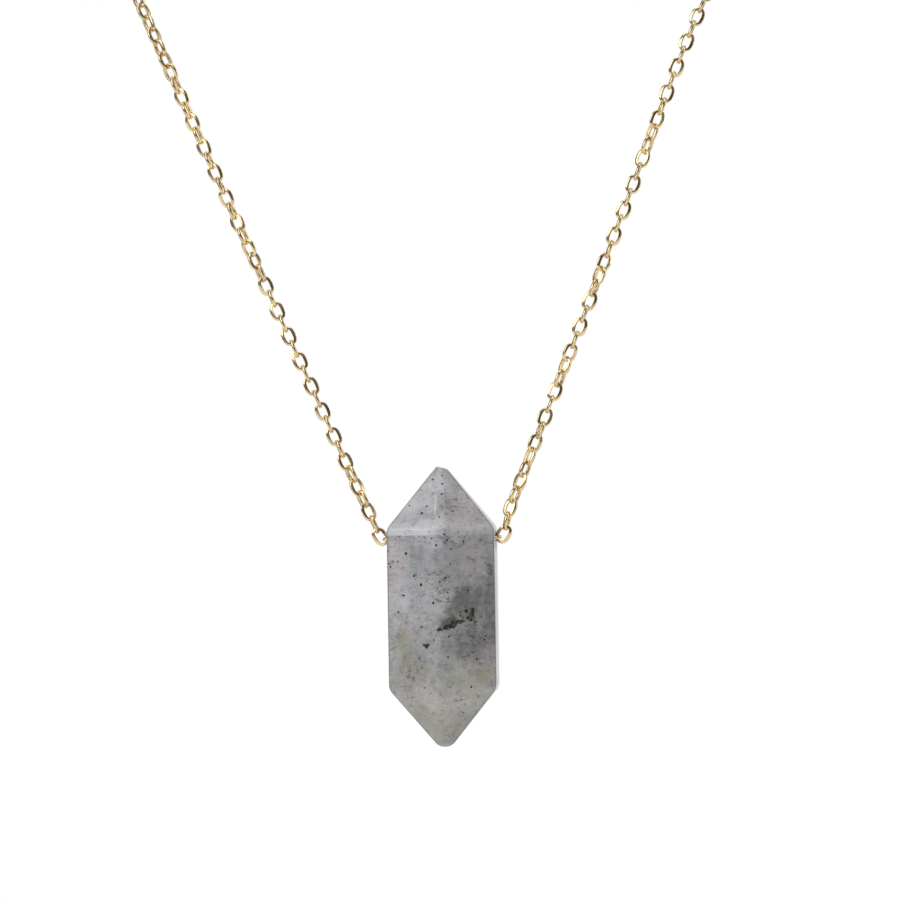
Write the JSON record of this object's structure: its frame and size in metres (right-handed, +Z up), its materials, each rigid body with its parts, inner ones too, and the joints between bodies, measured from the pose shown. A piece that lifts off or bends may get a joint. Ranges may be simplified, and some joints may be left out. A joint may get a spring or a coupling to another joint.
{
  "type": "crystal point pendant on a fine oval-link chain necklace",
  "caption": "Six-sided grey stone with a point at each end, drilled crosswise near its top and threaded on a fine gold oval-link chain that closes at the nape with a plain clasp.",
  "frame": {"origin": "the middle of the clasp's ring at the nape, where the necklace hangs on the back of the neck", "axes": "+Z up, -Y the wearer's front, where the stone hangs, and +X to the right of someone who looks at the stone"},
  "size_m": [0.0973, 0.0973, 0.1158],
  "materials": {
    "grey_stone": "polished, cloudy grey with dark specks and pale greenish patches",
    "gold_metal": "polished gold plate over base metal"
  },
  "bodies": {
    "necklace": {"chain_left": "gold_metal", "chain_right": "gold_metal", "clasp": "gold_metal", "end_ring": "gold_metal"},
    "crystal": {"crystal_point": "grey_stone"}
  },
  "joints": [
    {"name": "crystal_swing", "type": "hinge", "parent": "necklace", "child": "crystal", "pos_m": [0, -0.088, -0.088], "axis": [1, 0, 0], "continuous": true}
  ]
}
